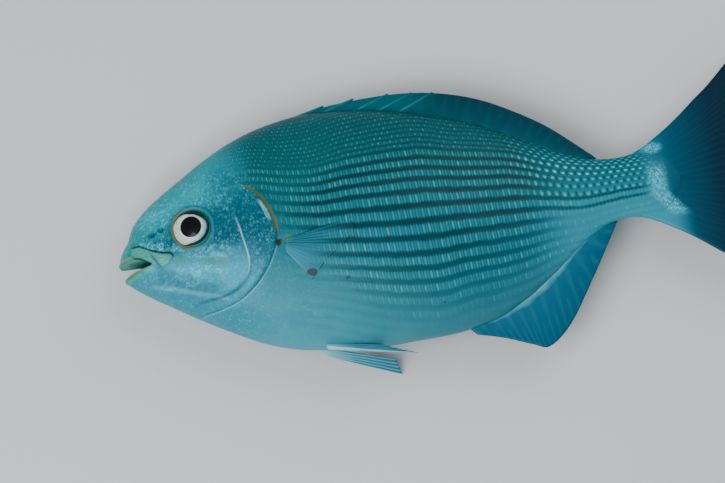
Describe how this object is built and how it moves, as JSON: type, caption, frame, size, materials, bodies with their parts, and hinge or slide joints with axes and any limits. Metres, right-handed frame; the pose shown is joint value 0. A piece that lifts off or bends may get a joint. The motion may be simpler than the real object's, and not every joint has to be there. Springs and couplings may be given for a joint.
{
  "type": "whole raw fish",
  "caption": "Whole raw deep-bodied sea fish with striped scaly flanks, spread fins and forked tail, lying on its right flank.",
  "frame": {"origin": "centre of the bounding box in plan, at its lowest level, where the right flank rests", "axes": "+X from snout to tail, +Y from belly to back, +Z out of the left flank, which faces up"},
  "size_m": [0.3598, 0.15, 0.0549],
  "materials": {
    "skin": "wet scaly skin, blue-green with dark lengthwise stripes, pale belly",
    "eye": "clear wet eye with black pupil and cream iris"
  },
  "bodies": {
    "root": {"fish": "skin", "eye_left": "eye", "eye_right": "eye"}
  },
  "joints": []
}
